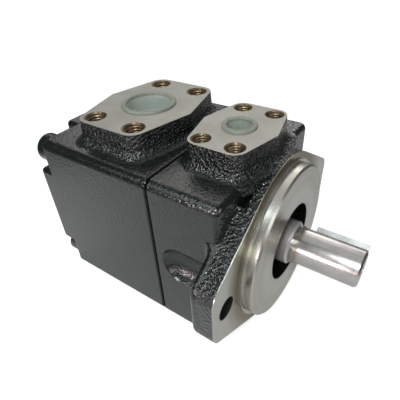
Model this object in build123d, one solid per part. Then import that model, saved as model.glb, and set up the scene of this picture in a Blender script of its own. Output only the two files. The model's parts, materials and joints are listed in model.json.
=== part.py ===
"""Hydraulic vane pump: two-bolt pilot flange, keyed shaft, two ports on top.

Frame: +X runs along the shaft towards its driven end, +Z points up through the ports.
The origin is on the shaft axis, in the plane of the mounting-flange face.
"""
from build123d import *
from math import cos, pi, radians, sin, sqrt, tan
import os

# ---------------------------------------------------------------- clearances and fits
RUNNING = 0.05          # radial clearance of a running fit
SEATED = 0.02           # gap between a seated piece and its seat
LOOSE = 0.5             # radial clearance of a bolt or a shaft passing through a plate
MESH = 0.06             # flank and tip clearance of the spline
CUT = 1.0               # how far a cutting shape runs past the face it cuts

# ---------------------------------------------------------------- mounting flange (two-bolt)
PILOT_R = 41.275
PILOT_LENGTH = 6.35
PILOT_CHAMFER = 1.0
PILOT_STEP_R = 42.9     # low machined step round the foot of the pilot
PILOT_STEP_LENGTH = 0.8
UNDERCUT_WIDTH = 1.2
UNDERCUT_DEPTH = 0.7
FLANGE_R = 46.5
FLANGE_RIM = 5.0        # depth of the round rim
NECK_R = 43.5           # cast neck between the rim and the block
EAR_THICKNESS = 12.5
EAR_BOLT_Y = 53.2
EAR_HOLE_R = 5.55
EAR_CORNER_R = 9.5
EAR_END_Y = 64.0
EAR_END_HALF = 9.5      # half height of the flat at the end of an ear
EAR_ROOT_R = 4.0        # cast radius between the back of an ear and the block
EAR_BACK_R = 3.0        # rounded back edge of an ear
SPANNER_POCKET_R = 14.0
SPANNER_POCKET_END = 44.5

# ---------------------------------------------------------------- castings
BODY_HALF = 45.5        # half width and half height of both castings
BODY_EDGE_R = 4.5       # cast radius of the long edges
HOUSING_FRONT = 8.0     # from the flange face back to the front wall of the block
HOUSING_EDGE_R = 3.2    # front edges of the block
SEAM_X = -46.0          # joint face between housing and rear cover
COVER_LENGTH = 75.0
COVER_EDGE_R = 2.2      # rounded edge of the cover round the joint face
BOSS_HEIGHT = 8.5       # cross-shaped boss on the back of the cover
BOSS_HALF_Y = 21.0
BOSS_HALF_Z = 26.5
BOSS_EDGE_R = 2.5
BOSS_CORNER_R = 6.0

# ---------------------------------------------------------------- port pads
PAD_TOP = 58.0
PAD_DRAFT = 4.0
PAD_FOOT_R = 5.0        # cast radius between a pad and the casting under it
PAD_FOOT_LAND = 0.2     # flat left outside that radius
DELIVERY_X = -25.1
DELIVERY_SPACING_X = 17.5
DELIVERY_SPACING_Y = 38.1
DELIVERY_SCREW_R = 4.0
DELIVERY_SCREW_DEPTH = 14.0
DELIVERY_PORT_R = 7.1
DELIVERY_CORNER_R = 6.1
DELIVERY_PEAK = 19.6    # from the port centre to the blunt point of the pad
SUCTION_X = -80.9
SUCTION_SPACING_X = 26.2
SUCTION_SPACING_Y = 52.4
SUCTION_SCREW_R = 5.0
SUCTION_SCREW_DEPTH = 15.0
SUCTION_PORT_R = 13.1
SUCTION_CORNER_R = 7.9
SUCTION_PEAK = 27.6
PEAK_R = 3.0
SCREW_CHAMFER = 0.7

# ---------------------------------------------------------------- shaft
SHAFT_R = 9.525
SHAFT_END_X = 42.9
SHAFT_CHAMFER = 1.0
COLLAR_R = 11.5         # seal journal
COLLAR_END_X = 9.2
SHAFT_NECK_R = 9.0      # groove in front of the journal
SHAFT_NECK_WIDTH = 1.6
SHAFT_RING_R = 10.1     # narrow ring in front of the groove
SHAFT_RING_WIDTH = 1.4
CENTRE_R = 1.6          # centre drilled in the end of the shaft
CENTRE_MOUTH_R = 3.0
CENTRE_DEPTH = 7.0
KEY_SIDE = 4.76
KEY_LENGTH = 25.4
KEY_DEPTH = 2.4         # depth of the keyseat
KEY_FROM_END = 0.4
KEY_TURN = 48.0         # degrees from the top towards +Y
JOURNAL_R = 8.0
SPLINE_ROOT_R = 7.6
SPLINE_TIP_R = 8.9
SPLINE_TEETH = 12
PLAIN_R = 9.2           # shaft between bearing and spline

# ---------------------------------------------------------------- front ball bearing and shaft seal
SEAL_BORE_R = 20.8
SEAL_FRONT_X = -2.6
SEAL_WIDTH = 7.0
SEAL_WALL = 1.2
SEAL_LIP_R = 13.8       # outside of the lip, where the garter spring lies
GARTER_WIRE_R = 0.7
SEAL_SHOULDER = 2.4     # web between the seal bore and the bearing bore
WEB_HOLE_R = 16.0
BEARING_BORE_R = 10.0
BEARING_OUTER_R = 23.5
BEARING_WIDTH = 14.0
BALL_R = 3.97
BALL_COUNT = 8
RACE_WALL = 3.4         # thickness of both rings beside the ball groove
CAGE_WIDTH = 10.0
CAGE_WALL = 2.5
CLIP_WIDTH = 1.75       # retaining ring in the housing
CLIP_GROOVE = 1.3
CLIP_REACH = 2.6        # how far the ring stands inside the bore
CLIP_GAP = 10.0
CLIP_EYE_R = 2.0
CLIP_EYE_HOLE_R = 0.9
CLIP_TO_CHAMBER = 1.2
SHAFT_CLIP_WIDTH = 1.2  # retaining ring on the shaft
SHAFT_CLIP_GROOVE = 0.7
SHAFT_CLIP_REACH = 2.2  # how far the ring stands outside the shaft
SHAFT_CLIP_GAP = 5.0
SHAFT_CLIP_LAND = 1.0   # shaft in front of the plain length, behind the ring groove

# ---------------------------------------------------------------- vane cartridge
CHAMBER_STEP = 2.0      # shoulder between the plate bore and the pressure chamber
CHAMBER_LENGTH = 3.4
PLATE_R = 32.0          # side plates and cam ring
PLATE_THICKNESS = 11.0
PLATE_SEAL_WIRE_R = 0.9
CAM_WIDTH = 20.0
CAM_WALL = 9.8          # wall of the cam ring at its minor axis
CAM_LIFT = 2.8
ROTOR_GAP = 0.6         # between rotor and cam at the minor axis
ROTOR_SIDE_GAP = 0.03
VANE_COUNT = 12
VANE_THICKNESS = 1.8
VANE_LENGTH = 8.6
VANE_SLOT_EXTRA = 0.6
DOWEL_R = 2.0
CARTRIDGE_EDGE = 6.0        # from the rim of a plate to the dowels and screws
CARTRIDGE_ANGLE = 14.0      # degrees of a dowel or a screw from the minor axis of the cam
CARTRIDGE_SCREW_R = 2.0
CARTRIDGE_HEAD_R = 3.5
CARTRIDGE_HEAD_LENGTH = 4.0
CARTRIDGE_HEX = 3.0
CARTRIDGE_END_GAP = 1.5     # from the ends of dowels and screws to the outer faces
KIDNEY_WIDTH = 4.4
KIDNEY_INSET = 1.2      # how far a kidney reaches inside the minor radius of the cam
KIDNEY_SWEEP = 40.0
SUCTION_SPACE_DEPTH = 2.5   # cored suction space round the cam ring
SUCTION_SPACE_END = 18.0
SUCTION_GALLERY_R = 9.0
GALLERY_WALL = 0.3      # left on each side of a delivery gallery
GALLERY_TURN = 12.0     # degrees between the three delivery galleries

# ---------------------------------------------------------------- rear bearing bush
BUSH_R = 9.0
BUSH_LENGTH = 16.0
BUSH_START = 3.0        # behind the seat of the rear side plate
BUSH_SHOULDER = 0.8
JOURNAL_END = 1.5       # shaft past the bush
JOURNAL_ROOM = 1.0      # from the end of the shaft to the end of its bore

# ---------------------------------------------------------------- cover bolts and joint seal
BOLT_EDGE = 10.0        # from the side of the castings to a bolt
BOLT_R = 5.0
BOLT_HEAD_R = 8.0
BOLT_HEAD_LENGTH = 10.0
BOLT_HEAD_CHAMFER = 1.0
BOLT_THREAD_IN = 19.0
BOLT_HEX = 8.0
BOLT_HEX_DEPTH = 5.0
BOLT_SPOTFACE = 0.8
BOLT_DRILL_PAST = 2.0   # tapped hole past the end of a bolt
JOINT_SEAL_WALL = 1.2   # between the suction space and the seal groove
JOINT_SEAL_WIRE_R = 1.1

# ---------------------------------------------------------------- shipping plugs in the ports
PLUG_WALL = 0.9
PLUG_DEPTH = 9.0
PLUG_LIP_HEIGHT = 1.1
PLUG_LIP_BEVEL = 0.5
PLUG_INNER_BEVEL = 0.3
PLUG_FOOT_BEVEL = 0.6
SUCTION_LIP_R = 14.7
DELIVERY_LIP_R = 8.55

# ---------------------------------------------------------------- stations along the shaft
COVER_REAR_X = SEAM_X - COVER_LENGTH
SEAL_REAR_X = SEAL_FRONT_X - SEAL_WIDTH
GARTER_X = SEAL_REAR_X + 2 * SEAL_WALL
BEARING_FRONT_X = SEAL_REAR_X - SEAL_SHOULDER
BEARING_REAR_X = BEARING_FRONT_X - BEARING_WIDTH
BEARING_MID_X = (BEARING_FRONT_X + BEARING_REAR_X) / 2
CLIP_REAR_X = BEARING_REAR_X - CLIP_WIDTH
CHAMBER_FRONT_X = CLIP_REAR_X - CLIP_TO_CHAMBER
PLATE_FRONT_X = CHAMBER_FRONT_X - CHAMBER_LENGTH
CAM_FRONT_X = PLATE_FRONT_X - PLATE_THICKNESS
CAM_REAR_X = CAM_FRONT_X - CAM_WIDTH
SEAT_X = CAM_REAR_X - PLATE_THICKNESS
BUSH_FRONT_X = SEAT_X - BUSH_START
BUSH_REAR_X = BUSH_FRONT_X - BUSH_LENGTH
SHAFT_REAR_X = BUSH_REAR_X - JOURNAL_END

# ---------------------------------------------------------------- radii that follow from others
BALL_PITCH_R = (BEARING_BORE_R + BEARING_OUTER_R) / 2
RACE_LAND_INNER = BEARING_BORE_R + RACE_WALL
RACE_LAND_OUTER = BEARING_OUTER_R - RACE_WALL
CAM_MINOR_R = PLATE_R - CAM_WALL
ROTOR_R = CAM_MINOR_R - ROTOR_GAP
CHAMBER_R = PLATE_R - CHAMBER_STEP
CARTRIDGE_PITCH_R = PLATE_R - CARTRIDGE_EDGE
KIDNEY_INNER_R = CAM_MINOR_R - KIDNEY_INSET
KIDNEY_OUTER_R = KIDNEY_INNER_R + KIDNEY_WIDTH
SUCTION_SPACE_R = PLATE_R + SUCTION_SPACE_DEPTH
JOINT_SEAL_R = SUCTION_SPACE_R + JOINT_SEAL_WALL + JOINT_SEAL_WIRE_R
BOLT_OFFSET = BODY_HALF - BOLT_EDGE


# ---------------------------------------------------------------- helpers
def turned(*corners):
    """Solid of revolution about the X axis from (x, r) corners."""
    return revolve(make_face(Polyline(*corners, close=True)), Axis.X)


def tube(x0, x1, outer, inner=0.0):
    return turned((x0, inner), (x0, outer), (x1, outer), (x1, inner))


def slab(profile, x0, x1):
    """Extrusion of a (y, z) profile between two stations on X."""
    return extrude(Plane.YZ.offset(x0) * profile, x1 - x0)


def upright(profile, z0, z1):
    """Extrusion of an (x, y) profile between two heights."""
    return extrude(Plane.XY.offset(z0) * profile, z1 - z0)


def ring(x, radius, wire):
    """Torus about the X axis."""
    return revolve(Pos(x, radius) * Circle(wire), Axis.X)


def around(radius, count):
    """(y, z) places evenly spaced on a circle, from the +Z direction towards +Y."""
    angles = [2 * pi * k / count for k in range(count)]
    return [(radius * sin(a), radius * cos(a)) for a in angles]


def corners(a, b):
    return [(sx * a, sy * b) for sx in (-1, 1) for sy in (-1, 1)]


def bar_x(y, z, radius, x0, x1):
    """Round bar parallel to X."""
    return slab(Pos(y, z) * Circle(radius), min(x0, x1), max(x0, x1))


def bar_z(x, y, radius, z0, z1):
    """Round bar parallel to Z."""
    return upright(Pos(x, y) * Circle(radius), z0, z1)


def rounded_bar(half_y, half_z, x0, x1, radius):
    """Square bar along X with rounded long edges."""
    return slab(RectangleRounded(2 * half_y, 2 * half_z, radius), x0, x1)


def edges_at(solid, x):
    """Edges that lie in the plane at station x."""
    return solid.edges().filter_by_position(Axis.X, x - SEATED, x + SEATED).filter_by(Plane.YZ)


# ---------------------------------------------------------------- port pads
def pad_outline(x, spacing_x, spacing_y, corner_r, peak):
    """Six-sided pad: rounded corners about the screws, blunt points fore and aft."""
    outline = Sketch()
    for dx, dy in corners(spacing_x / 2, spacing_y / 2):
        outline += Pos(x + dx, dy) * Circle(corner_r)
    for side in (-1, 1):
        outline += Pos(x + side * (peak - PEAK_R), 0) * Circle(PEAK_R)
    return make_hull(outline.edges())


def port_pad(x, spacing_x, spacing_y, corner_r, peak):
    """Pad whose drafted sides run out into the casting with a wide cast radius."""
    outline = pad_outline(x, spacing_x, spacing_y, corner_r, peak)
    height = PAD_TOP - BODY_HALF
    sides = extrude(Plane.XY.offset(PAD_TOP) * outline, -height, taper=-PAD_DRAFT)
    spread = height * tan(radians(PAD_DRAFT)) + PAD_FOOT_R + PAD_FOOT_LAND
    pad = sides + upright(offset(outline, spread), BODY_HALF - BODY_EDGE_R, BODY_HALF)
    land = pad.faces().filter_by(Plane.XY).sort_by(Axis.Z)[-2]
    return fillet(land.inner_wires()[0].edges(), PAD_FOOT_R)


def screw_holes(x, spacing_x, spacing_y, radius, depth):
    """Four tapped holes, each with a chamfered mouth."""
    holes = Part()
    for dx, dy in corners(spacing_x / 2, spacing_y / 2):
        holes += bar_z(x + dx, dy, radius, PAD_TOP - depth, PAD_TOP + CUT)
        mouth = Pos(x + dx, dy, PAD_TOP - SCREW_CHAMFER / 2)
        holes += mouth * Cone(radius, radius + SCREW_CHAMFER, SCREW_CHAMFER)
    return holes


# ---------------------------------------------------------------- front casting
def flange_profile():
    """Round flange with two rounded ears."""
    outline = Sketch() + Circle(FLANGE_R)
    for side_y, side_z in corners(EAR_END_Y - EAR_CORNER_R, EAR_END_HALF):
        outline += Pos(side_y, side_z) * Circle(EAR_CORNER_R)
    return make_hull(outline.edges())


def ear_edges(solid, inside):
    """Edges at the back of the ears: those on the block side, or those that go round the ears."""
    at_back = edges_at(solid, -EAR_THICKNESS)
    if inside:
        return [e for e in at_back if abs(abs(e.center().Y) - BODY_HALF) < SEATED]
    return [e for e in at_back if abs(e.center().Y) > BODY_HALF + EAR_ROOT_R + SEATED]


def housing_casting():
    """Block, neck, round flange with ears, and the delivery pad, machined off at the joint face."""
    block = rounded_bar(BODY_HALF, BODY_HALF, SEAM_X, -HOUSING_FRONT, BODY_EDGE_R)
    block = fillet(edges_at(block, -HOUSING_FRONT), HOUSING_EDGE_R)
    neck = tube(-HOUSING_FRONT, 0, NECK_R)
    rim = slab(flange_profile(), -FLANGE_RIM, 0)
    ears = slab(flange_profile() & Rectangle(4 * EAR_END_Y, 2 * (BODY_HALF - 2 * BODY_EDGE_R)),
                -EAR_THICKNESS, 0)
    body = block + neck + rim + ears
    body = fillet(ear_edges(body, True), EAR_ROOT_R)
    body = fillet(ear_edges(body, False), EAR_BACK_R)
    pad = port_pad(DELIVERY_X, DELIVERY_SPACING_X, DELIVERY_SPACING_Y, DELIVERY_CORNER_R, DELIVERY_PEAK)
    return body + (pad & slab(Rectangle(4 * BODY_HALF, 4 * BODY_HALF), SEAM_X, 0))


def pilot():
    """Spigot with an undercut at its foot, a low step round it and a chamfered nose."""
    undercut_x = PILOT_STEP_LENGTH + UNDERCUT_WIDTH
    root_r = PILOT_R - UNDERCUT_DEPTH
    return turned((-CUT, 0), (-CUT, PILOT_STEP_R), (PILOT_STEP_LENGTH, PILOT_STEP_R),
                  (PILOT_STEP_LENGTH, root_r), (undercut_x, root_r), (undercut_x, PILOT_R),
                  (PILOT_LENGTH - PILOT_CHAMFER, PILOT_R), (PILOT_LENGTH, PILOT_R - PILOT_CHAMFER),
                  (PILOT_LENGTH, 0))


def spanner_pockets():
    """Round-ended recesses behind the ears for the heads of the flange bolts."""
    pockets = Part()
    start = SPANNER_POCKET_END - SPANNER_POCKET_R
    for side in (-1, 1):
        y = side * EAR_BOLT_Y
        pockets += bar_x(y, 0, SPANNER_POCKET_R, -start, -EAR_THICKNESS)
        pockets += Pos(-start, y, 0) * Sphere(SPANNER_POCKET_R)
    return pockets


def housing_bores():
    """Seal bore, bearing bore with its clip groove, pressure chamber and plate bore."""
    groove_x = CLIP_REAR_X - RUNNING
    bearing_r = BEARING_OUTER_R + SEATED
    plate_r = PLATE_R + RUNNING
    front_x, rear_x = PILOT_LENGTH + CUT, SEAM_X - CUT
    return turned((front_x, 0), (front_x, SEAL_BORE_R), (SEAL_REAR_X, SEAL_BORE_R),
                  (SEAL_REAR_X, WEB_HOLE_R), (BEARING_FRONT_X, WEB_HOLE_R), (BEARING_FRONT_X, bearing_r),
                  (BEARING_REAR_X, bearing_r), (BEARING_REAR_X, bearing_r + CLIP_GROOVE),
                  (groove_x, bearing_r + CLIP_GROOVE), (groove_x, bearing_r),
                  (CHAMBER_FRONT_X, bearing_r), (CHAMBER_FRONT_X, CHAMBER_R),
                  (PLATE_FRONT_X, CHAMBER_R), (PLATE_FRONT_X, plate_r), (rear_x, plate_r), (rear_x, 0))


def delivery_passage():
    """Port drilled down to three galleries that meet the pressure chamber above the bearing."""
    groove_r = BEARING_OUTER_R + SEATED + CLIP_GROOVE
    level = (CHAMBER_R + groove_r) / 2
    radius = (CHAMBER_R - groove_r) / 2 - GALLERY_WALL
    passage = bar_z(DELIVERY_X, 0, DELIVERY_PORT_R, level, PAD_TOP + CUT)
    for turn in (-GALLERY_TURN, 0, GALLERY_TURN):
        y, z = level * sin(radians(turn)), level * cos(radians(turn))
        passage += bar_x(y, z, radius, DELIVERY_X, PLATE_FRONT_X)
    return passage


def bolt_places():
    return corners(BOLT_OFFSET, BOLT_OFFSET)


def housing():
    body = housing_casting() - spanner_pockets() + pilot()
    body -= housing_bores() + delivery_passage()
    body -= screw_holes(DELIVERY_X, DELIVERY_SPACING_X, DELIVERY_SPACING_Y, DELIVERY_SCREW_R,
                        DELIVERY_SCREW_DEPTH)
    for side in (-1, 1):
        body -= bar_x(side * EAR_BOLT_Y, 0, EAR_HOLE_R, -EAR_THICKNESS - CUT, CUT)
    for y, z in bolt_places():
        body -= bar_x(y, z, BOLT_R + SEATED, SEAM_X - CUT, SEAM_X + BOLT_THREAD_IN + BOLT_DRILL_PAST)
    return body


# ---------------------------------------------------------------- rear casting
def cover_boss():
    """Cross-shaped boss that leaves a notch for a bolt head at each corner."""
    cross = RectangleRounded(2 * BODY_HALF, 2 * BOSS_HALF_Z, BOSS_EDGE_R)
    cross += RectangleRounded(2 * BOSS_HALF_Y, 2 * BODY_HALF, BOSS_EDGE_R)
    inner = [v for v in cross.vertices() if abs(v.X) <= BOSS_HALF_Y + SEATED and abs(v.Y) <= BOSS_HALF_Z + SEATED]
    cross = fillet(inner, BOSS_CORNER_R)
    boss = slab(cross, COVER_REAR_X - BOSS_HEIGHT, COVER_REAR_X + BODY_EDGE_R)
    return fillet(edges_at(boss, COVER_REAR_X - BOSS_HEIGHT), BOSS_EDGE_R)


def cover_casting():
    block = rounded_bar(BODY_HALF, BODY_HALF, COVER_REAR_X, SEAM_X, BODY_EDGE_R)
    block = fillet(edges_at(block, SEAM_X), COVER_EDGE_R)
    block = fillet(edges_at(block, COVER_REAR_X), BOSS_EDGE_R)
    pad = port_pad(SUCTION_X, SUCTION_SPACING_X, SUCTION_SPACING_Y, SUCTION_CORNER_R, SUCTION_PEAK)
    return block + cover_boss() + pad


def cover_bores():
    """Suction space round the cam ring, seat of the rear side plate and the bush bore."""
    plate_r = PLATE_R + RUNNING
    bush_r = BUSH_R + SEATED
    front_x = SEAM_X + CUT
    space_x = SEAM_X - SUCTION_SPACE_END
    web_r = BUSH_R - BUSH_SHOULDER
    end_x = SHAFT_REAR_X - JOURNAL_ROOM
    return turned((front_x, 0), (front_x, SUCTION_SPACE_R), (space_x, SUCTION_SPACE_R),
                  (space_x, plate_r), (SEAT_X, plate_r), (SEAT_X, web_r), (BUSH_FRONT_X, web_r),
                  (BUSH_FRONT_X, bush_r), (BUSH_REAR_X, bush_r), (BUSH_REAR_X, web_r),
                  (end_x, web_r), (end_x, 0))


def suction_passage():
    """Port drilled down to a cored gallery that opens into the suction space."""
    level = SUCTION_SPACE_R - SUCTION_GALLERY_R
    return (bar_z(SUCTION_X, 0, SUCTION_PORT_R, level - SUCTION_GALLERY_R, PAD_TOP + CUT)
            + bar_x(0, level, SUCTION_GALLERY_R, SUCTION_X, SEAM_X - SUCTION_SPACE_END / 2))


def joint_seal_groove():
    depth = 2 * JOINT_SEAL_WIRE_R - 2 * SEATED
    width = JOINT_SEAL_WIRE_R + RUNNING
    return tube(SEAM_X - depth, SEAM_X + CUT, JOINT_SEAL_R + width, JOINT_SEAL_R - width)


def rear_cover():
    body = cover_casting() - (cover_bores() + suction_passage()) - joint_seal_groove()
    body -= screw_holes(SUCTION_X, SUCTION_SPACING_X, SUCTION_SPACING_Y, SUCTION_SCREW_R,
                        SUCTION_SCREW_DEPTH)
    for y, z in bolt_places():
        body -= bar_x(y, z, BOLT_R + LOOSE, COVER_REAR_X - CUT, SEAM_X + CUT)
        body -= bar_x(y, z, BOLT_HEAD_R + LOOSE, COVER_REAR_X - BOSS_HEIGHT - CUT,
                      COVER_REAR_X + BOLT_SPOTFACE)
    return body


def cover_bolts():
    """Four socket-head screws through the cover into the housing."""
    seat = COVER_REAR_X + BOLT_SPOTFACE
    top = seat - BOLT_HEAD_LENGTH
    head = tube(top, seat, BOLT_HEAD_R)
    head = chamfer(edges_at(head, top), BOLT_HEAD_CHAMFER)
    socket = slab(RegularPolygon(BOLT_HEX / 2, 6, major_radius=False), top - CUT, top + BOLT_HEX_DEPTH)
    shank = tube(seat, SEAM_X + BOLT_THREAD_IN, BOLT_R)
    screw = head + shank - socket
    return Compound([Pos(0, y, z) * screw for y, z in bolt_places()])


def joint_seal():
    return ring(SEAM_X - JOINT_SEAL_WIRE_R + SEATED, JOINT_SEAL_R, JOINT_SEAL_WIRE_R - SEATED)


# ---------------------------------------------------------------- shaft
def spline(root_r, tip_r, x0, x1):
    """Straight-sided spline teeth on a round core."""
    width = pi * root_r / SPLINE_TEETH
    profile = Sketch() + Circle(root_r)
    for k in range(SPLINE_TEETH):
        tooth = Pos(0, tip_r / 2) * Rectangle(width, tip_r)
        profile += Rot(0, 0, 360 * k / SPLINE_TEETH) * tooth
    return slab(profile & Circle(tip_r), x0, x1)


def key_bar(x0, x1, side, depth):
    """Square bar in the shaft's key position, from its floor outwards."""
    floor = SHAFT_R - depth
    bar = upright(Pos((x0 + x1) / 2, 0) * Rectangle(x1 - x0, side), floor, floor + side)
    return Rot(-KEY_TURN, 0, 0) * bar


def shaft_key():
    end = SHAFT_END_X - KEY_FROM_END
    return key_bar(end - KEY_LENGTH, end, KEY_SIDE, KEY_DEPTH)


def keyseat():
    """Keyseat that is open at the end of the shaft."""
    start = SHAFT_END_X - KEY_FROM_END - KEY_LENGTH - SEATED
    return key_bar(start, SHAFT_END_X + CUT, KEY_SIDE + 2 * SEATED, KEY_DEPTH + SEATED)


def shaft():
    neck_x = COLLAR_END_X + SHAFT_NECK_WIDTH
    ring_x = neck_x + SHAFT_RING_WIDTH
    clip_x = BEARING_REAR_X - SHAFT_CLIP_WIDTH
    plain_x = clip_x - SHAFT_CLIP_LAND
    centre_x = SHAFT_END_X - CENTRE_DEPTH
    cone_x = SHAFT_END_X - (CENTRE_MOUTH_R - CENTRE_R) * sqrt(3)
    body = turned((centre_x, 0), (centre_x, CENTRE_R), (cone_x, CENTRE_R), (SHAFT_END_X, CENTRE_MOUTH_R),
                  (SHAFT_END_X, SHAFT_R - SHAFT_CHAMFER),
                  (SHAFT_END_X - SHAFT_CHAMFER, SHAFT_R), (ring_x, SHAFT_R), (ring_x, SHAFT_RING_R),
                  (neck_x, SHAFT_RING_R), (neck_x, SHAFT_NECK_R), (COLLAR_END_X, SHAFT_NECK_R),
                  (COLLAR_END_X, COLLAR_R - SHAFT_CHAMFER), (COLLAR_END_X - SHAFT_CHAMFER, COLLAR_R),
                  (BEARING_FRONT_X, COLLAR_R), (BEARING_FRONT_X, BEARING_BORE_R),
                  (BEARING_REAR_X, BEARING_BORE_R), (BEARING_REAR_X, BEARING_BORE_R - SHAFT_CLIP_GROOVE),
                  (clip_x, BEARING_BORE_R - SHAFT_CLIP_GROOVE), (clip_x, BEARING_BORE_R),
                  (plain_x, BEARING_BORE_R), (plain_x, PLAIN_R), (CAM_FRONT_X, PLAIN_R),
                  (CAM_FRONT_X, SPLINE_ROOT_R), (CAM_REAR_X, SPLINE_ROOT_R), (CAM_REAR_X, JOURNAL_R),
                  (SHAFT_REAR_X, JOURNAL_R), (SHAFT_REAR_X, 0))
    teeth = spline(SPLINE_ROOT_R, SPLINE_TIP_R, CAM_REAR_X, CAM_FRONT_X)
    return body + teeth - keyseat()


# ---------------------------------------------------------------- shaft seal
def shaft_seal():
    """Metal-cased lip seal; the lip runs on the collar under a garter spring."""
    front, rear, bore = SEAL_FRONT_X, SEAL_REAR_X + SEATED, SEAL_BORE_R - SEATED
    lip_r = COLLAR_R + RUNNING
    section = make_face(Polyline(
        (front, bore), (rear, bore), (rear, bore - SEAL_WALL), (front - SEAL_WALL, bore - SEAL_WALL),
        (front - SEAL_WALL, SEAL_LIP_R), (rear + SEAL_WALL / 2, SEAL_LIP_R),
        (rear + SEAL_WALL / 2, lip_r + SEAL_WALL / 2), (rear + SEAL_WALL, lip_r),
        (front - SEAL_WALL, lip_r + SEAL_WALL), (front, lip_r + SEAL_WALL / 2), close=True))
    section -= Pos(GARTER_X, SEAL_LIP_R) * Circle(GARTER_WIRE_R + SEATED)
    return revolve(section, Axis.X)


def garter_spring():
    return ring(GARTER_X, SEAL_LIP_R, GARTER_WIRE_R)


# ---------------------------------------------------------------- front ball bearing and its clips
def race_groove():
    return ring(BEARING_MID_X, BALL_PITCH_R, BALL_R + RUNNING)


def bearing_outer_race():
    return tube(BEARING_REAR_X, BEARING_FRONT_X - SEATED, BEARING_OUTER_R, RACE_LAND_OUTER) - race_groove()


def bearing_inner_race():
    bore = BEARING_BORE_R + SEATED
    return tube(BEARING_REAR_X, BEARING_FRONT_X - SEATED, RACE_LAND_INNER, bore) - race_groove()


def bearing_balls():
    ball = Sphere(BALL_R)
    return Compound([Pos(BEARING_MID_X, y, z) * ball for y, z in around(BALL_PITCH_R, BALL_COUNT)])


def bearing_cage():
    cage = tube(BEARING_MID_X - CAGE_WIDTH / 2, BEARING_MID_X + CAGE_WIDTH / 2,
                BALL_PITCH_R + CAGE_WALL / 2, BALL_PITCH_R - CAGE_WALL / 2)
    for y, z in around(BALL_PITCH_R, BALL_COUNT):
        cage -= Pos(BEARING_MID_X, y, z) * Sphere(BALL_R + RUNNING)
    return cage


def housing_clip():
    """Internal retaining ring with its gap and two eyes at the bottom."""
    x0, x1 = CLIP_REAR_X, BEARING_REAR_X - SEATED
    outer, inner = BEARING_OUTER_R + CLIP_GROOVE - SEATED, BEARING_OUTER_R - CLIP_REACH
    clip = tube(x0, x1, outer, inner)
    clip -= slab(Pos(0, -outer) * Rectangle(CLIP_GAP, outer), x0 - CUT, x1 + CUT)
    for side in (-1, 1):
        y = side * (CLIP_GAP / 2 + CLIP_EYE_R)
        z = -sqrt(inner ** 2 - y ** 2)
        clip += bar_x(y, z, CLIP_EYE_R, x0, x1)
        clip -= bar_x(y, z, CLIP_EYE_HOLE_R, x0 - CUT, x1 + CUT)
    return clip


def shaft_clip():
    """External retaining ring with its gap at the bottom."""
    x0, x1 = BEARING_REAR_X - SHAFT_CLIP_WIDTH + SEATED, BEARING_REAR_X - SEATED
    inner = BEARING_BORE_R - SHAFT_CLIP_GROOVE + SEATED
    outer = BEARING_BORE_R + SHAFT_CLIP_REACH
    gap = slab(Pos(0, -outer) * Rectangle(SHAFT_CLIP_GAP, outer), x0 - CUT, x1 + CUT)
    return tube(x0, x1, outer, inner) - gap


# ---------------------------------------------------------------- vane cartridge
def cam_radius(angle):
    """Two-lobed bore: major radius towards +Z and -Z, minor radius towards +Y and -Y."""
    return CAM_MINOR_R + CAM_LIFT * (1 - cos(2 * angle)) / 2


def cam_bore():
    steps = 32
    points = []
    for k in range(steps):
        angle = 2 * pi * k / steps
        points.append((cam_radius(angle) * cos(angle), cam_radius(angle) * sin(angle)))
    return make_face(Spline(*points, periodic=True))


def cartridge_places():
    """Dowels on one side of the minor axis and screws on the other, as (y, z) lists."""
    reach = CARTRIDGE_PITCH_R * cos(radians(CARTRIDGE_ANGLE))
    rise = CARTRIDGE_PITCH_R * sin(radians(CARTRIDGE_ANGLE))
    dowels = [(reach, rise), (-reach, -rise)]
    screws = [(reach, -rise), (-reach, rise)]
    return dowels, screws


def cartridge_holes(x0, x1, screw_r):
    dowels, screws = cartridge_places()
    holes = Part()
    for y, z in dowels:
        holes += bar_x(y, z, DOWEL_R + SEATED, x0, x1)
    for y, z in screws:
        holes += bar_x(y, z, screw_r, x0, x1)
    return holes


def cam_ring():
    ring_body = slab(Circle(PLATE_R) - cam_bore(), CAM_REAR_X, CAM_FRONT_X)
    return ring_body - cartridge_holes(CAM_REAR_X - CUT, CAM_FRONT_X + CUT, CARTRIDGE_SCREW_R + LOOSE)


def kidneys(x0, x1, turn):
    """Two opposite curved ports in a side plate; turn is in degrees from +Y."""
    ports = Part()
    half = radians(KIDNEY_SWEEP / 2)
    reach = 2 * KIDNEY_OUTER_R
    for base in (turn, turn + 180):
        mid = radians(base)
        wedge = Polygon((0, 0), *[(reach * cos(mid + s * half), reach * sin(mid + s * half))
                                  for s in (-1, 0, 1)], align=None)
        ports += slab((Circle(KIDNEY_OUTER_R) - Circle(KIDNEY_INNER_R)) & wedge, x0, x1)
    return ports


def side_plate(x0, x1, bore):
    plate = tube(x0, x1, PLATE_R, bore)
    for turn in (45, 135):
        plate -= kidneys(x0 - CUT, x1 + CUT, turn)
    return plate - cartridge_holes(x0 - CUT, x1 + CUT, CARTRIDGE_SCREW_R + LOOSE)


def front_side_plate():
    """Pressure plate: its delivery ports open into the chamber, a seal groove runs round it."""
    x0, x1 = CAM_FRONT_X + SEATED, PLATE_FRONT_X - SEATED
    plate = side_plate(x0, x1, PLAIN_R + LOOSE)
    middle = (PLATE_FRONT_X + SEAM_X) / 2
    depth = 2 * PLATE_SEAL_WIRE_R - RUNNING
    half = PLATE_SEAL_WIRE_R + RUNNING
    plate -= tube(middle - half, middle + half, PLATE_R + CUT, PLATE_R - depth)
    for y, z in cartridge_places()[1]:
        plate -= bar_x(y, z, CARTRIDGE_HEAD_R + LOOSE, x1 - CARTRIDGE_HEAD_LENGTH - LOOSE, x1 + CUT)
    return plate


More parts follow.
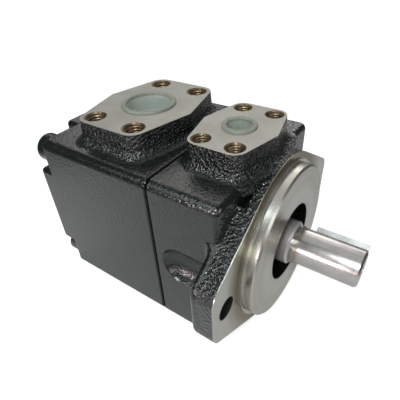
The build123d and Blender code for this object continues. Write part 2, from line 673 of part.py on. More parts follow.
def plate_seal():
    middle = (PLATE_FRONT_X + SEAM_X) / 2
    return ring(middle, PLATE_R + RUNNING - PLATE_SEAL_WIRE_R, PLATE_SEAL_WIRE_R - SEATED)


def rear_side_plate():
    return side_plate(SEAT_X + SEATED, CAM_REAR_X - SEATED, JOURNAL_R + LOOSE)


def dowel_pins():
    x0, x1 = SEAT_X + CARTRIDGE_END_GAP, PLATE_FRONT_X - CARTRIDGE_END_GAP
    return Compound([bar_x(y, z, DOWEL_R, x0, x1) for y, z in cartridge_places()[0]])


def cartridge_screws():
    """Two socket-head screws that hold plates and cam ring together as a unit."""
    seat = PLATE_FRONT_X - SEATED - CARTRIDGE_HEAD_LENGTH - LOOSE
    head = tube(seat, seat + CARTRIDGE_HEAD_LENGTH, CARTRIDGE_HEAD_R)
    head -= slab(RegularPolygon(CARTRIDGE_HEX / 2, 6, major_radius=False), seat + CARTRIDGE_HEAD_LENGTH / 2,
                 seat + CARTRIDGE_HEAD_LENGTH + CUT)
    screw = head + tube(SEAT_X + CARTRIDGE_END_GAP, seat, CARTRIDGE_SCREW_R)
    return Compound([Pos(0, y, z) * screw for y, z in cartridge_places()[1]])


def vane_angles():
    return [360.0 * (k + 0.5) / VANE_COUNT for k in range(VANE_COUNT)]


def vane_box(clearance=0.0, extra=0.0):
    """One vane along +Y; clearance widens it and extra deepens it for the slot."""
    length = VANE_LENGTH + extra
    x0, x1 = CAM_REAR_X + ROTOR_SIDE_GAP, CAM_FRONT_X - ROTOR_SIDE_GAP
    profile = Pos(ROTOR_R - length / 2 + clearance, 0) * Rectangle(length + 2 * clearance,
                                                                    VANE_THICKNESS + 2 * clearance)
    return slab(profile, x0, x1)


def vane(angle):
    """Vane fully home in its slot, with a rounded tip; angle is in degrees from +Y towards +Z."""
    blade = vane_box() & tube(CAM_REAR_X, CAM_FRONT_X, ROTOR_R)
    return Rot(angle, 0, 0) * blade


def rotor():
    body = slab(Circle(ROTOR_R), CAM_REAR_X + ROTOR_SIDE_GAP, CAM_FRONT_X - ROTOR_SIDE_GAP)
    body -= spline(SPLINE_ROOT_R + MESH, SPLINE_TIP_R + MESH, CAM_REAR_X, CAM_FRONT_X)
    slot = vane_box(MESH / 2, VANE_SLOT_EXTRA)
    for angle in vane_angles():
        body -= Rot(angle, 0, 0) * slot
    return body


# ---------------------------------------------------------------- rear bush
def rear_bush():
    return tube(BUSH_REAR_X, BUSH_FRONT_X - SEATED, BUSH_R, JOURNAL_R + RUNNING)


# ---------------------------------------------------------------- shipping plugs
def port_plug(x, port_r, lip_r):
    """Moulded cup that pushes into a port; its rounded lip rests on the pad."""
    outer = port_r - RUNNING
    inner = outer - PLUG_WALL
    top = PLUG_LIP_HEIGHT
    floor = PLUG_WALL - PLUG_DEPTH
    cup = make_face(Polyline((0, -PLUG_DEPTH), (outer - PLUG_FOOT_BEVEL, -PLUG_DEPTH),
                             (outer, PLUG_FOOT_BEVEL - PLUG_DEPTH), (outer, 0), (lip_r, 0),
                             (lip_r, top - PLUG_LIP_BEVEL), (lip_r - PLUG_LIP_BEVEL, top),
                             (inner + PLUG_INNER_BEVEL, top), (inner, top - PLUG_INNER_BEVEL),
                             (inner, floor), (0, floor), close=True))
    solid = revolve(Plane.XZ * cup, Axis.Z)
    return Pos(x, 0, PAD_TOP + SEATED) * solid


# ---------------------------------------------------------------- assembly
def pieces():
    nodes = {
        "housing": housing(),
        "rear_cover": rear_cover(),
        "cover_bolts": cover_bolts(),
        "cover_seal_ring": joint_seal(),
        "shaft": shaft(),
        "shaft_key": shaft_key(),
        "shaft_seal": shaft_seal(),
        "seal_garter_spring": garter_spring(),
        "bearing_outer_race": bearing_outer_race(),
        "bearing_inner_race": bearing_inner_race(),
        "bearing_balls": bearing_balls(),
        "bearing_cage": bearing_cage(),
        "housing_retaining_ring": housing_clip(),
        "shaft_retaining_ring": shaft_clip(),
        "front_side_plate": front_side_plate(),
        "side_plate_seal_ring": plate_seal(),
        "cam_ring": cam_ring(),
        "rotor": rotor(),
        "rear_side_plate": rear_side_plate(),
        "dowel_pins": dowel_pins(),
        "cartridge_screws": cartridge_screws(),
        "rear_bush": rear_bush(),
        "suction_port_plug": port_plug(SUCTION_X, SUCTION_PORT_R, SUCTION_LIP_R),
        "delivery_port_plug": port_plug(DELIVERY_X, DELIVERY_PORT_R, DELIVERY_LIP_R),
    }
    for number, angle in enumerate(vane_angles(), start=1):
        nodes[f"vane_{number:02d}"] = vane(angle)
    return nodes


os.makedirs("parts", exist_ok=True)
for name, solid in pieces().items():
    export_step(solid, f"parts/{name}.step")
    print(name, round(solid.volume))
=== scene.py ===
import bpy
import bmesh
import json
from math import cos, pi, radians, sin
from mathutils import Matrix, Vector


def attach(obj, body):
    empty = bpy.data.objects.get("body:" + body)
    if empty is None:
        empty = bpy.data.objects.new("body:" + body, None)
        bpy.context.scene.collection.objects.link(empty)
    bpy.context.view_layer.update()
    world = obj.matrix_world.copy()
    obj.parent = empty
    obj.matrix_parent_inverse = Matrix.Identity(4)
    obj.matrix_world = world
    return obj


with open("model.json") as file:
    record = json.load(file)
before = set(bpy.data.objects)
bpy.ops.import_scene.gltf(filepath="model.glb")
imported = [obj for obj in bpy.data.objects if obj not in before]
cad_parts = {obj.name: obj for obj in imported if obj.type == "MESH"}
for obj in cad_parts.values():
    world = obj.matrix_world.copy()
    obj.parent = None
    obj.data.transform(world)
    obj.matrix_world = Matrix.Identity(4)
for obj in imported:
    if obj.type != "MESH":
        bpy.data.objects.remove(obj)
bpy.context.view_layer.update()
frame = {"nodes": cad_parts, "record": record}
mm = 0.001
print("frame loaded")


def colour(r, g, b):
    return (r, g, b, 1.0)


# camera and light
camera = {
    "target": (-45.14, -6.44, 11.11),   # mm
    "distance": 202.95,
    "azimuth": 36.52,
    "elevation": 37.16,
    "roll": -3.28,
    "lens": 32.77,
    "sensor": 36.0,
    "shift": (-0.0018, -0.0008),
    "clip": (0.01, 20.0),               # m
}
lights = {
    # name: place in mm, size in mm, power in W, colour
    "keyPanel": ((60.0, -480.0, 570.0), (140.0, 120.0), 2.1, (0.93, 1.0, 1.0)),
    "overheadPanel": ((-120.0, 120.0, 680.0), (640.0, 520.0), 0.45, (1.0, 0.99, 0.97)),
    "rearPanel": ((-440.0, 560.0, 580.0), (900.0, 620.0), 1.7, (1.0, 0.985, 0.95)),
    "backPanel": ((-60.0, 660.0, 300.0), (300.0, 160.0), 0.35, (1.0, 0.99, 0.96)),
    "leftTube": ((-330.0, -420.0, 520.0), (60.0, 560.0), 0.7, (0.86, 1.0, 0.98)),
    "lowPanel": ((-170.0, -690.0, 120.0), (300.0, 80.0), 1.2, (1.0, 0.87, 0.89)),
    "cornerPanel": ((240.0, -640.0, 150.0), (220.0, 100.0), 0.3, (0.90, 1.0, 0.93)),
    "earPanel": ((520.0, -720.0, 230.0), (300.0, 200.0), 0.55, (1.0, 0.84, 0.84)),
    "rightPanel": ((600.0, -120.0, 330.0), (400.0, 360.0), 0.95, (1.0, 1.0, 1.0)),
}


def makeCamera():
    c = camera
    az, el, roll = radians(c["azimuth"]), radians(c["elevation"]), radians(c["roll"])
    back = Vector((sin(az) * cos(el), -cos(az) * cos(el), sin(el)))
    level = Vector((cos(az), sin(az), 0.0))
    up = back.cross(level)
    right = cos(roll) * level + sin(roll) * up
    top = -sin(roll) * level + cos(roll) * up
    data = bpy.data.cameras.new("camera")
    data.lens = c["lens"]
    data.sensor_width = c["sensor"]
    data.shift_x, data.shift_y = c["shift"]
    data.clip_start, data.clip_end = c["clip"]
    eye = bpy.data.objects.new("camera", data)
    place = Vector(c["target"]) * mm + back * c["distance"] * mm
    turn = Matrix((right, top, back)).transposed().to_4x4()
    eye.matrix_world = Matrix.Translation(place) @ turn
    bpy.context.collection.objects.link(eye)
    bpy.context.scene.camera = eye


def makeLights():
    aim = Vector(camera["target"]) * mm
    for name, (place, size, power, tint) in lights.items():
        data = bpy.data.lights.new(name, "AREA")
        data.shape = "RECTANGLE"
        data.size = size[0] * mm
        data.size_y = size[1] * mm
        data.energy = power
        data.color = tint
        lamp = bpy.data.objects.new(name, data)
        lamp.location = Vector(place) * mm
        lamp.rotation_euler = (lamp.location - aim).to_track_quat("Z", "Y").to_euler()
        bpy.context.collection.objects.link(lamp)


# node helpers
def newMaterial(name):
    material = bpy.data.materials.new(name)
    material.use_nodes = True
    tree = material.node_tree
    tree.nodes.clear()
    output = tree.nodes.new("ShaderNodeOutputMaterial")
    return material, tree, output


def put(tree, socket, value):
    # links a socket, or sets a constant
    if isinstance(value, bpy.types.NodeSocket):
        tree.links.new(value, socket)
    else:
        socket.default_value = value


def maths(tree, kind, a, b=0.0, c=0.0):
    node = tree.nodes.new("ShaderNodeMath")
    node.operation = kind
    for socket, value in zip(node.inputs, (a, b, c)):
        put(tree, socket, value)
    return node.outputs[0]


def mixColour(tree, factor, a, b):
    node = tree.nodes.new("ShaderNodeMix")
    node.data_type = "RGBA"
    put(tree, node.inputs[0], factor)
    put(tree, node.inputs[6], a)
    put(tree, node.inputs[7], b)
    return node.outputs[2]


def mixValue(tree, factor, a, b):
    node = tree.nodes.new("ShaderNodeMix")
    put(tree, node.inputs[0], factor)
    put(tree, node.inputs[2], a)
    put(tree, node.inputs[3], b)
    return node.outputs[0]


def noise(tree, where, scale, detail, rough, stretch=None):
    # scale is in waves per metre
    if stretch:
        node = tree.nodes.new("ShaderNodeMapping")
        node.inputs["Scale"].default_value = stretch
        tree.links.new(where, node.inputs["Vector"])
        where = node.outputs[0]
    node = tree.nodes.new("ShaderNodeTexNoise")
    tree.links.new(where, node.inputs["Vector"])
    node.inputs["Scale"].default_value = scale
    node.inputs["Detail"].default_value = detail
    node.inputs["Roughness"].default_value = rough
    return node.outputs[0]


def pebbles(tree, where, scale, smooth):
    node = tree.nodes.new("ShaderNodeTexVoronoi")
    node.feature = "SMOOTH_F1"
    tree.links.new(where, node.inputs["Vector"])
    node.inputs["Scale"].default_value = scale
    node.inputs["Smoothness"].default_value = smooth
    return node.outputs["Distance"]


def ramp(tree, value, low, high, start=0.0, end=1.0):
    node = tree.nodes.new("ShaderNodeMapRange")
    node.clamp = True
    put(tree, node.inputs["Value"], value)
    node.inputs["From Min"].default_value = low
    node.inputs["From Max"].default_value = high
    node.inputs["To Min"].default_value = start
    node.inputs["To Max"].default_value = end
    return node.outputs[0]


def span(tree, distance, limits, start=0.0, end=1.0):
    # a ramp between two places in mm
    return ramp(tree, distance, limits[0] * mm, limits[1] * mm, start, end)


noiseRange = (0.3, 0.7)     # where a noise's values mostly lie


def roughness(tree, pattern, limits):
    return ramp(tree, pattern, *noiseRange, *limits)


def bump(tree, pattern, height, strength, under=None):
    # the height is in mm
    node = tree.nodes.new("ShaderNodeBump")
    node.inputs["Distance"].default_value = height * mm
    put(tree, node.inputs["Strength"], strength)
    tree.links.new(pattern, node.inputs["Height"])
    if under:
        tree.links.new(under, node.inputs["Normal"])
    return node.outputs[0]


def mixShader(tree, factor, first, second):
    node = tree.nodes.new("ShaderNodeMixShader")
    put(tree, node.inputs[0], factor)
    tree.links.new(first, node.inputs[1])
    tree.links.new(second, node.inputs[2])
    return node.outputs[0]


def principled(tree, settings):
    node = tree.nodes.new("ShaderNodeBsdfPrincipled")
    for name, value in settings.items():
        put(tree, node.inputs[name], value)
    return node.outputs[0]


def objectPlace(tree):
    # object coordinates and their parts: vector, x, y, z
    node = tree.nodes.new("ShaderNodeTexCoord")
    split = tree.nodes.new("ShaderNodeSeparateXYZ")
    tree.links.new(node.outputs["Object"], split.inputs[0])
    return (node.outputs["Object"], *split.outputs)


def axisRadius(tree, a, b, centre=0.0):
    # distance from a line parallel to an axis, which may lie off it along a
    side = maths(tree, "SUBTRACT", a, centre)
    total = maths(tree, "ADD", maths(tree, "MULTIPLY", side, side), maths(tree, "MULTIPLY", b, b))
    return maths(tree, "SQRT", total)


def turnedTangent(tree, y, z):
    # runs round the shaft axis, as the tool marks do
    join = tree.nodes.new("ShaderNodeCombineXYZ")
    put(tree, join.inputs[1], maths(tree, "MULTIPLY", z, -1.0))
    put(tree, join.inputs[2], y)
    unit = tree.nodes.new("ShaderNodeVectorMath")
    unit.operation = "NORMALIZE"
    tree.links.new(join.outputs[0], unit.inputs[0])
    turn = tree.nodes.new("ShaderNodeVectorTransform")
    turn.vector_type = "VECTOR"
    turn.convert_from = "OBJECT"
    turn.convert_to = "WORLD"
    tree.links.new(unit.outputs[0], turn.inputs[0])
    return turn.outputs[0]


# painted castings with their machined faces; places in mm
mounts = {mount["name"]: mount for mount in frame["record"]["mounts"]}
paintLook = {
    "tone": colour(0.0040, 0.0046, 0.0046),
    "thin": colour(0.015, 0.022, 0.018),
    "thinRange": (0.42, 0.72),
    "rough": (0.05, 0.14),
    "ior": 1.55,
    "coat": 0.5,
    "coatRough": 0.07,
    "coatIor": 1.6,
    # grains: waves per metre, detail, roughness
    "softGrain": (720.0, 3.0, 0.6),
    "hardGrain": (962.0, 2.0, 0.6),
    "fineGrain": (2900.0, 3.0, 0.65),
    "swell": (240.0, 2.0, 0.5),
    "mottle": (380.0, 4.0, 0.65),
    # pebbles: per metre, smoothness, and their weight beside the grain
    "calmPebbles": (900.0, 1.0, 0.8),
    "wildPebbles": (740.0, 0.6, 1.5),
    # bumps: height, strength
    "swellBump": (0.07, 0.6),
    "fineBump": (0.12, 0.4),
    "grainHeight": 0.42,
    "calm": 0.42,               # strength of the grain on the flat sides
    "wild": 1.2,                # and on the pads' sides and the flange's rim
    "rimRadius": (43.5, 45.5),
    "rimDepth": (-9.0, -7.0),
    "padRise": (45.0, 47.5),
    # painted shadow along the joint, widened on the cover as a painted dark reflection of its edge
    "jointAt": -46.0,
    "jointShadowTone": colour(0.003, 0.003, 0.003),
    "jointShade": {"housing": (0.3, 0.6), "rear_cover": (0.6, 2.4)},
}
machinedAt = {
    # round each pad's screw holes, and the radius of its port
    "pads": {
        "suction_bolts": {"screwRim": 0.9, "port": 13.6},
        "delivery_bolts": {"screwRim": 0.85, "port": 7.6},
    },
    "padTop": 57.85,
    "padLow": 50.0,
    "portsAbove": 30.0,
    "flangeFace": -0.35,
    "earHole": 6.0,
    "bore": 21.2,
    "rearWall": -117.0,         # the bores end in front of this plane
    "edgeGrain": (700.0, 3.0, 0.55),
    "edgeWander": 0.3,
}
ironLook = {
    "milled": colour(0.50, 0.49, 0.45),
    "smeared": colour(0.42, 0.405, 0.36),
    "smear": (55.0, 5.0, 0.6),
    "smearRange": (0.42, 0.72),
    "turned": colour(0.60, 0.585, 0.535),
    "ringed": colour(0.40, 0.36, 0.29),
    "ringRange": (0.48, 0.66),
    "ringStrength": 0.3,
    # painted shade: the bore's machined iron is painted near-black, as the deep hole lies in shade
    "bore": colour(0.06, 0.057, 0.052),
    # painted shade: the ear holes' iron is painted darker, as shade in the holes
    "earHole": colour(0.17, 0.165, 0.15),
    "rust": colour(0.23, 0.165, 0.105),
    # a warm tint, and a painted reflection of the pilot's cylinder on the flange face
    "brownBand": colour(0.25, 0.21, 0.14),
    "brownBandAt": (42.4, 43.6, 45.5, 54.0),    # radii round the pilot's foot: none, full, fading, none
    "brownBandDepth": 2.0,
    "metallic": 0.85,
    "toolMarks": 0.75,
    "milling": (1500.0, 3.0, 0.6, (0.25, 3.0, 1.0)),
    "turning": (260.0, 2.0, 0.6),
    "markHeight": 0.015,
    "milledMarks": 0.4,
    "turnedMarks": 0.02,
    "milledRough": (0.33, 0.47),
    "turnedRough": (0.21, 0.27),
}


def holePattern(name):
    # centre along the shaft, half spacings and hole radius
    mount = mounts[name]
    dims = mount["dims"]
    return mount["pos_m"][0] / mm, dims["spacing_x_mm"] / 2, dims["spacing_y_mm"] / 2, dims["hole_r_mm"]


def fromPair(tree, value, centre, offset):
    # signed distance from the nearer of two planes that lie either side of a centre
    side = maths(tree, "ABSOLUTE", maths(tree, "SUBTRACT", value, centre * mm))
    return maths(tree, "SUBTRACT", side, offset * mm)


def within(tree, distance, radius):
    return maths(tree, "LESS_THAN", distance, radius * mm)


def beyond(tree, distance, limit):
    return maths(tree, "GREATER_THAN", distance, limit * mm)


def machinedMasks(tree, where, x, y, z, fromShaft, machinedFront):
    # what the tools have cut: everything, the shaft bore, the screw holes, the ear holes
    at = machinedAt
    wander = maths(tree, "SUBTRACT", noise(tree, where, *at["edgeGrain"]), 0.5)
    edge = maths(tree, "MULTIPLY", wander, at["edgeWander"] * mm)
    bore = maths(tree, "MULTIPLY", within(tree, fromShaft, at["bore"]), beyond(tree, x, at["rearWall"]))
    cut = maths(tree, "MAXIMUM", beyond(tree, maths(tree, "ADD", z, edge), at["padTop"]), bore)
    screwHoles = 0.0
    for name, pad in at["pads"].items():
        centre, halfX, halfY, radius = holePattern(name)
        away = axisRadius(tree, fromPair(tree, x, centre, halfX), fromPair(tree, y, 0.0, halfY))
        screwHoles = maths(tree, "MAXIMUM", screwHoles, within(tree, away, radius + pad["screwRim"]))
        port = within(tree, axisRadius(tree, x, y, centre * mm), pad["port"])
        cut = maths(tree, "MAXIMUM", cut, maths(tree, "MULTIPLY", port, beyond(tree, z, at["portsAbove"])))
    screwHoles = maths(tree, "MULTIPLY", screwHoles, beyond(tree, z, at["portsAbove"]))
    cut = maths(tree, "MAXIMUM", cut, screwHoles)
    earHoles = 0.0
    if machinedFront:
        halfEars = mounts["mounting_bolts"]["dims"]["spacing_x_mm"] / 2
        earHoles = within(tree, axisRadius(tree, fromPair(tree, y, 0.0, halfEars), z), at["earHole"])
        front = beyond(tree, maths(tree, "ADD", x, edge), at["flangeFace"])
        cut = maths(tree, "MAXIMUM", cut, maths(tree, "MAXIMUM", front, earHoles))
    return cut, bore, screwHoles, earHoles


def paintShader(tree, where, x, z, fromShaft):
    # calm on the flat sides, pebbled on the pads' sides and the flange's rim
    look = paintLook
    soft = noise(tree, where, *look["softGrain"])
    hard = noise(tree, where, *look["hardGrain"])
    perMetre, smooth, weight = look["calmPebbles"]
    calm = maths(tree, "MULTIPLY_ADD", pebbles(tree, where, perMetre, smooth), weight, soft)
    perMetre, smooth, weight = look["wildPebbles"]
    wild = maths(tree, "MULTIPLY_ADD", pebbles(tree, where, perMetre, smooth), weight, hard)
    rim = maths(tree, "MULTIPLY", span(tree, fromShaft, look["rimRadius"]), span(tree, x, look["rimDepth"]))
    zone = maths(tree, "MAXIMUM", span(tree, z, look["padRise"]), rim)
    skin = bump(tree, noise(tree, where, *look["swell"]), *look["swellBump"])
    skin = bump(tree, calm, look["grainHeight"], mixValue(tree, zone, look["calm"], 0.0), skin)
    skin = bump(tree, wild, look["grainHeight"], mixValue(tree, zone, 0.0, look["wild"]), skin)
    skin = bump(tree, noise(tree, where, *look["fineGrain"]), *look["fineBump"], skin)
    thin = ramp(tree, noise(tree, where, *look["mottle"]), *look["thinRange"])
    return principled(tree, {
        "Base Color": mixColour(tree, thin, look["tone"], look["thin"]),
        "Roughness": roughness(tree, soft, look["rough"]),
        "Normal": skin,
        "IOR": look["ior"],
        "Coat Weight": look["coat"],
        "Coat Roughness": look["coatRough"],
        "Coat IOR": look["coatIor"],
        "Coat Normal": skin,
    })


def ironTone(tree, where, x, rings, onPad, fromShaft):
    # milled pads, and a turned flange with a brown band round the pilot's foot: a warm tint, and a painted
    # reflection of the pilot's cylinder
    look = ironLook
    smear = ramp(tree, noise(tree, where, *look["smear"]), *look["smearRange"])
    milled = mixColour(tree, smear, look["milled"], look["smeared"])
    ringed = ramp(tree, rings, *look["ringRange"], 0.0, look["ringStrength"])
    turned = mixColour(tree, ringed, look["turned"], look["ringed"])
    start, full, fading, clean = look["brownBandAt"]
    brownBand = maths(tree, "MINIMUM", span(tree, fromShaft, (start, full)),
                  span(tree, fromShaft, (fading, clean), 1.0, 0.0))
    brownBand = maths(tree, "MULTIPLY", brownBand, within(tree, x, look["brownBandDepth"]))
    return mixColour(tree, onPad, mixColour(tree, brownBand, turned, look["brownBand"]), milled)


def castingMaterial(name, node, machinedFront):
    material, tree, output = newMaterial(name)
    where, x, y, z = objectPlace(tree)
    fromShaft = axisRadius(tree, y, z)
    cut, bore, screwHoles, earHoles = machinedMasks(tree, where, x, y, z, fromShaft, machinedFront)
    paint = paintShader(tree, where, x, z, fromShaft)
    look = ironLook
    milling = noise(tree, where, *look["milling"])
    track = tree.nodes.new("ShaderNodeCombineXYZ")
    put(tree, track.inputs[0], fromShaft)
    put(tree, track.inputs[1], x)
    rings = noise(tree, track.outputs[0], *look["turning"])
    onPad = beyond(tree, z, machinedAt["padLow"])
    tone = ironTone(tree, where, x, rings, onPad, fromShaft)
    tone = mixColour(tree, screwHoles, tone, look["rust"])
    # painted shade in the ear holes
    tone = mixColour(tree, earHoles, tone, look["earHole"])
    iron = principled(tree, {
        # painted shade in the bore
        "Base Color": mixColour(tree, bore, tone, look["bore"]),
        "Metallic": look["metallic"],
        "Anisotropic": look["toolMarks"],
        "Tangent": turnedTangent(tree, y, z),
        "Normal": bump(tree, mixValue(tree, onPad, rings, milling), look["markHeight"],
                       mixValue(tree, onPad, look["turnedMarks"], look["milledMarks"])),
        "Roughness": mixValue(tree, onPad, roughness(tree, rings, look["turnedRough"]),
                              roughness(tree, milling, look["milledRough"])),
    })
    # painted shadow: a near-black diffuse along the joint between the castings
    jointShadow = tree.nodes.new("ShaderNodeBsdfDiffuse")
    jointShadow.inputs[0].default_value = paintLook["jointShadowTone"]
    fromJoint = maths(tree, "ABSOLUTE", maths(tree, "SUBTRACT", x, paintLook["jointAt"] * mm))
    shade = span(tree, fromJoint, paintLook["jointShade"][node], 1.0, 0.0)
    painted = mixShader(tree, shade, paint, jointShadow.outputs[0])
    tree.links.new(mixShader(tree, cut, painted, iron), output.inputs["Surface"])
    return material


# metal finishes
steelLooks = {
    # name: colour, second colour, metallic, roughness, brushed,
    #       lines (waves per metre, detail, roughness, stretch), their height in mm
    "zincSteel": (colour(0.35, 0.35, 0.35), colour(0.25, 0.25, 0.24), 0.8, (0.30, 0.46), 0.0,
                  (1500.0, 3.0, 0.6), 0.03),
    "blackSteel": (colour(0.035, 0.034, 0.033), colour(0.06, 0.055, 0.05), 0.9, (0.32, 0.5), 0.0,
                   (1800.0, 3.0, 0.6), 0.03),
    "bearingSteel": (colour(0.55, 0.54, 0.52), colour(0.45, 0.44, 0.42), 1.0, (0.12, 0.2), 0.7,
                     (2400.0, 3.0, 0.6, (4.0, 0.3, 0.3)), 0.006),
    "sinteredSteel": (colour(0.30, 0.29, 0.27), colour(0.22, 0.21, 0.20), 0.85, (0.4, 0.55), 0.0,
                      (2200.0, 3.0, 0.6), 0.03),
    "bronze": (colour(0.50, 0.33, 0.15), colour(0.38, 0.24, 0.11), 1.0, (0.28, 0.42), 0.0,
               (1800.0, 3.0, 0.6, (3.0, 0.5, 0.5)), 0.02),
    "threadSteel": (colour(0.32, 0.23, 0.14), colour(0.13, 0.095, 0.06), 0.9, (0.28, 0.5), 0.0,
                    (1200.0, 3.0, 0.6), 0.04),
}
steelBlotch = {"grain": (110.0, 4.0, 0.6), "range": (0.4, 0.7), "lineStrength": 0.6}


def blotched(tree, where, first, second):
    patches = ramp(tree, noise(tree, where, *steelBlotch["grain"]), *steelBlotch["range"])
    return mixColour(tree, patches, first, second)


def steelMaterial(name):
    first, second, metallic, rough, brushed, grain, height = steelLooks[name]
    material, tree, output = newMaterial(name)
    where, _, y, z = objectPlace(tree)
    lines = noise(tree, where, *grain)
    shader = principled(tree, {
        "Base Color": blotched(tree, where, first, second),
        "Metallic": metallic,
        "Roughness": roughness(tree, lines, rough),
        "Normal": bump(tree, lines, height, steelBlotch["lineStrength"]),
        "Anisotropic": brushed,
        "Tangent": turnedTangent(tree, y, z),
    })
    tree.links.new(shader, output.inputs["Surface"])
    return material


shaftLook = {
    "tone": colour(0.66, 0.64, 0.62),
    "cloudy": colour(0.56, 0.54, 0.52),
    "brownBand": colour(0.30, 0.235, 0.16),
    "brownBandAt": (8.3, 10.5, 14.5),       # mm along the shaft: none, strongest, none
    "rough": (0.20, 0.27),
    "brushed": 0.7,
    "lines": (2600.0, 3.0, 0.6, (2.0, 0.04, 0.04)),
    "bands": (700.0, 3.0, 0.6, (1.0, 0.05, 0.05)),
    "bandRange": (0.35, 0.6),
    "lineBump": (0.001, 0.5),
    "journalEnd": 9.3,                  # mm along the shaft
    "journalInner": 9.8,                # the journal is all outside this radius
    "journalRough": 0.34,
    "journalMetal": 0.6,
}


def shaftMaterial():
    # ground steel with a duller seal journal, and a brown band where the journal ends
    look = shaftLook
    material, tree, output = newMaterial("groundSteel")
    where, x, y, z = objectPlace(tree)
    lines = noise(tree, where, *look["lines"])
    bands = ramp(tree, noise(tree, where, *look["bands"]), *look["bandRange"])
    start, middle, end = look["brownBandAt"]
    near = maths(tree, "MINIMUM", span(tree, x, (start, middle)), span(tree, x, (middle, end), 1.0, 0.0))
    clean = blotched(tree, where, look["tone"], look["cloudy"])
    journal = maths(tree, "MULTIPLY", within(tree, x, look["journalEnd"]),
                    beyond(tree, axisRadius(tree, y, z), look["journalInner"]))
    shader = principled(tree, {
        "Base Color": mixColour(tree, maths(tree, "MULTIPLY", near, bands), clean, look["brownBand"]),
        "Metallic": mixValue(tree, journal, 1.0, look["journalMetal"]),
        "Roughness": mixValue(tree, journal, roughness(tree, lines, look["rough"]), look["journalRough"]),
        "Normal": bump(tree, lines, *look["lineBump"]),
        "Anisotropic": look["brushed"],
        "Tangent": turnedTangent(tree, y, z),
    })
    tree.links.new(shader, output.inputs["Surface"])
    return material


# rubber and plastic
rubberLook = {
    "tone": colour(0.014, 0.014, 0.015),
    "dusty": colour(0.035, 0.034, 0.032),
    "dust": (400.0, 4.0, 0.6),
    "dustRange": (0.45, 0.7),
    "dustBump": (0.05, 0.4),
    "rough": 0.55,
}


def rubberMaterial():
    look = rubberLook
    material, tree, output = newMaterial("sealRubber")
    dust = noise(tree, objectPlace(tree)[0], *look["dust"])
    shader = principled(tree, {
        "Base Color": mixColour(tree, ramp(tree, dust, *look["dustRange"]), look["tone"], look["dusty"]),
        "Roughness": look["rough"],
        "Normal": bump(tree, dust, *look["dustBump"]),
    })
    tree.links.new(shader, output.inputs["Surface"])
    return material


plugLook = {
    "tone": colour(0.38, 0.395, 0.335),
    "thin": colour(0.31, 0.335, 0.28),
    # painted light: the cup's wall, as lit through the thin plastic
    "wall": colour(0.60, 0.655, 0.605),
    "lipAt": 57.6,                      # the lip is above this height, mm
    "cloud": (220.0, 4.0, 0.6),
    "cloudRange": (0.4, 0.65),
    "fine": (1400.0, 3.0, 0.6),
    "fineBump": (0.05, 0.35),
    "rough": (0.32, 0.48),
    "ior": 1.5,
    "clear": 0.25,
    "scatter": 0.25,
    "scatterReach": (0.004, 0.004, 0.003),
}


def plugMaterial():
    # pale translucent plastic; the cup below the lip is painted brighter, as light shining through its thin
    # wall
    look = plugLook
    material, tree, output = newMaterial("plugPlastic")
    where, _, _, z = objectPlace(tree)
    cloud = ramp(tree, noise(tree, where, *look["cloud"]), *look["cloudRange"])
    fine = noise(tree, where, *look["fine"])
    lip = mixColour(tree, cloud, look["tone"], look["thin"])
    shader = principled(tree, {
        "Base Color": mixColour(tree, within(tree, z, look["lipAt"]), lip, look["wall"]),
        "Roughness": roughness(tree, fine, look["rough"]),
        "Subsurface Weight": look["scatter"],
        "Subsurface Radius": look["scatterReach"],
        "Transmission Weight": look["clear"],
        "IOR": look["ior"],
        "Normal": bump(tree, fine, *look["fineBump"]),
    })
    tree.links.new(shader, output.inputs["Surface"])
    return material


finishes = {
    "zincSteel": ["shaft_key"],
    "blackSteel": ["housing_retaining_ring", "shaft_retaining_ring", "cartridge_screws",
                   "seal_garter_spring"],
    "bearingSteel": ["bearing_outer_race", "bearing_inner_race", "bearing_balls", "dowel_pins"],
    "sinteredSteel": ["front_side_plate", "rear_side_plate", "cam_ring", "rotor"]
    + [f"vane_{k:02d}" for k in range(1, 13)],
    "bronze": ["rear_bush", "bearing_cage"],
}


def give(material, *nodes):
    for node in nodes:
        for slot in frame["nodes"][node].material_slots:
            slot.material = material


def dressFrame():
    give(castingMaterial("housingPaint", "housing", True), "housing")
    give(castingMaterial("coverPaint", "rear_cover", False), "rear_cover", "cover_bolts")
    for finish, nodes in finishes.items():
        give(steelMaterial(finish), *nodes)
    give(shaftMaterial(), "shaft")
    give(rubberMaterial(), "shaft_seal", "cover_seal_ring", "side_plate_seal_ring")
    give(plugMaterial(), "suction_port_plug", "delivery_port_plug")


# threads in the tapped holes of both pads, mm
threadShape = {
    "suction": {"mount": "suction_bolts", "depth": 0.75, "pitch": 1.5, "turns": 8},
    "delivery": {"mount": "delivery_bolts", "depth": 0.62, "pitch": 1.25, "turns": 9},
    "top": 57.25,
    "clearance": 0.03,                  # between the thread's root and the hole
    "crest": (0.40, 0.58),              # parts of a pitch
    "foot": 0.98,
    "steps": 28,
    "weld": 0.02,
}


def threadTurns(bm, hole, x, y):
    # one helix: the flank is a short profile, spun down round the hole's axis
    shape = threadShape
    major = holePattern(hole["mount"])[3] - shape["clearance"]
    minor = major - hole["depth"]
    start, end = shape["crest"]
    flank = [(major, 0.0), (minor, start), (minor, end), (major, shape["foot"])]
    verts = [bm.verts.new(((x + radius) * mm, y * mm, (shape["top"] - down * hole["pitch"]) * mm))
             for radius, down in flank]
    edges = [bm.edges.new(pair) for pair in zip(verts, verts[1:])]
    bmesh.ops.spin(bm, geom=verts + edges, cent=(x * mm, y * mm, 0.0), axis=(0.0, 0.0, 1.0),
                   dvec=(0.0, 0.0, -hole["pitch"] * mm / shape["steps"]), angle=2 * pi * hole["turns"],
                   steps=shape["steps"] * hole["turns"], use_merge=False, use_duplicate=False)


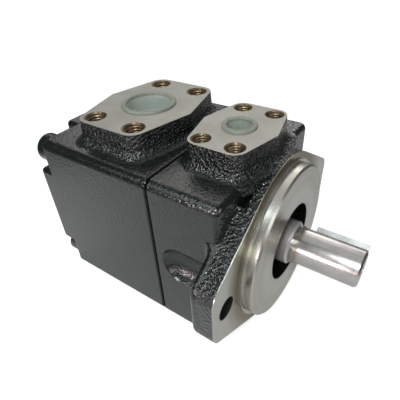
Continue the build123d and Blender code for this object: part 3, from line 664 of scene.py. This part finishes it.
def makeThreads(name, material):
    hole = threadShape[name]
    centre, halfX, halfY, _ = holePattern(hole["mount"])
    bm = bmesh.new()
    for sideX in (-1, 1):
        for sideY in (-1, 1):
            threadTurns(bm, hole, centre + sideX * halfX, sideY * halfY)
    bmesh.ops.remove_doubles(bm, verts=bm.verts, dist=threadShape["weld"] * mm)
    bmesh.ops.reverse_faces(bm, faces=bm.faces)     # they face the hole
    mesh = bpy.data.meshes.new(name + "Threads")
    bm.to_mesh(mesh)
    bm.free()
    mesh.materials.append(material)
    mesh.shade_smooth()
    threads = bpy.data.objects.new(name + "Threads", mesh)
    bpy.context.collection.objects.link(threads)
    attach(threads, "pump_body")


# floor and world
worldLook = {
    "lighting": colour(0.075, 0.077, 0.085),    # what lights the object
    "shown": colour(1.0, 1.0, 1.0),             # what the camera sees
}
floorLook = {
    "height": -46.7,                    # mm
    "half": 3000.0,
    "squares": 4,                       # along each side of the sheet
    "colour": colour(0.70, 0.70, 0.70),
    "farColour": colour(0.10, 0.10, 0.105),
    "paper": (200.0, 300.0),            # the pale paper fades out between these radii
    "shownWhite": (0.78, 1.0),          # what the camera sees, near and far
    "mirrored": 0.06,
}


def seenDirectly(tree):
    # by the camera, also through clear plastic; and the light path's own node
    path = tree.nodes.new("ShaderNodeLightPath")
    return maths(tree, "MAXIMUM", path.outputs["Is Camera Ray"], path.outputs["Is Transmission Ray"]), path


def floorMaterial():
    look = floorLook
    material, tree, output = newMaterial("floorPaper")
    _, x, y, _ = objectPlace(tree)
    far = span(tree, axisRadius(tree, x, y, camera["target"][0] * mm), look["paper"])
    diffuse = tree.nodes.new("ShaderNodeBsdfDiffuse")
    put(tree, diffuse.inputs[0], mixColour(tree, far, look["colour"], look["farColour"]))
    seen, path = seenDirectly(tree)
    mirrored = maths(tree, "MULTIPLY", path.outputs["Is Glossy Ray"], look["mirrored"])
    white = mixValue(tree, far, *look["shownWhite"])
    shine = tree.nodes.new("ShaderNodeEmission")
    put(tree, shine.inputs["Strength"], maths(tree, "MULTIPLY_ADD", seen, white, mirrored))
    both = tree.nodes.new("ShaderNodeAddShader")
    tree.links.new(diffuse.outputs[0], both.inputs[0])
    tree.links.new(shine.outputs[0], both.inputs[1])
    tree.links.new(both.outputs[0], output.inputs["Surface"])
    return material


def makeFloor():
    look = floorLook
    bm = bmesh.new()
    bmesh.ops.create_grid(bm, x_segments=look["squares"], y_segments=look["squares"],
                          size=look["half"] * mm)
    bmesh.ops.translate(bm, verts=bm.verts, vec=(0.0, 0.0, look["height"] * mm))
    mesh = bpy.data.meshes.new("floor")
    bm.to_mesh(mesh)
    bm.free()
    mesh.materials.append(floorMaterial())
    floor = bpy.data.objects.new("floor", mesh)
    bpy.context.collection.objects.link(floor)


def makeWorld():
    world = bpy.data.worlds.new("studio")
    world.use_nodes = True
    tree = world.node_tree
    tree.nodes.clear()
    output = tree.nodes.new("ShaderNodeOutputWorld")
    sky = tree.nodes.new("ShaderNodeBackground")
    seen = seenDirectly(tree)[0]
    put(tree, sky.inputs["Color"], mixColour(tree, seen, worldLook["lighting"], worldLook["shown"]))
    tree.links.new(sky.outputs[0], output.inputs["Surface"])
    bpy.context.scene.world = world


makeCamera()
makeLights()
makeFloor()
makeWorld()
print("camera, lights and floor made")
dressFrame()
print("frame dressed")
threadMaterial = steelMaterial("threadSteel")
makeThreads("suction", threadMaterial)
makeThreads("delivery", threadMaterial)
print("threads cut")

bpy.context.scene.view_settings.view_transform = "Standard"
